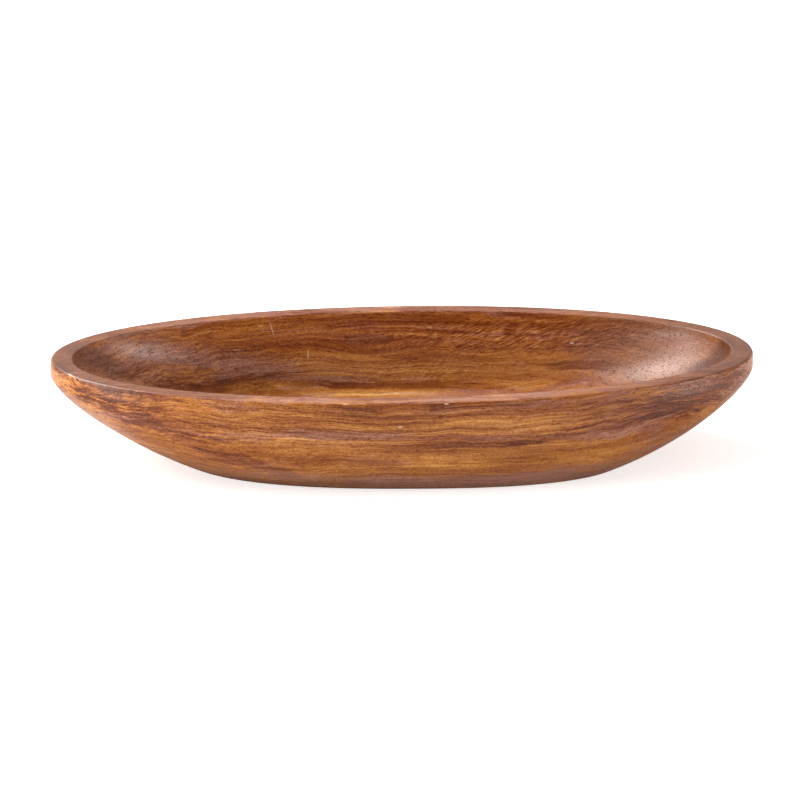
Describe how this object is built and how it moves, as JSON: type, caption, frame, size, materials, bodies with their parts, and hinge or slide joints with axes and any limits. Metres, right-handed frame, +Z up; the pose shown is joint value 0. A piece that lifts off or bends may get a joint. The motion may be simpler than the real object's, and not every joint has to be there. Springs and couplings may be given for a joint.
{
  "type": "oval serving dish",
  "caption": "Long oval, boat-shaped wooden serving dish with a smooth deep hollow, a flat rim with softened edges and a flat oval foot.",
  "frame": {"origin": "middle of the flat underside, on the table", "axes": "+X along the dish's length, +Y across it, +Z up out of the hollow"},
  "size_m": [0.305, 0.152, 0.044],
  "materials": {
    "carved_wood": "satin"
  },
  "bodies": {
    "root": {"dish": "carved_wood"}
  },
  "joints": []
}
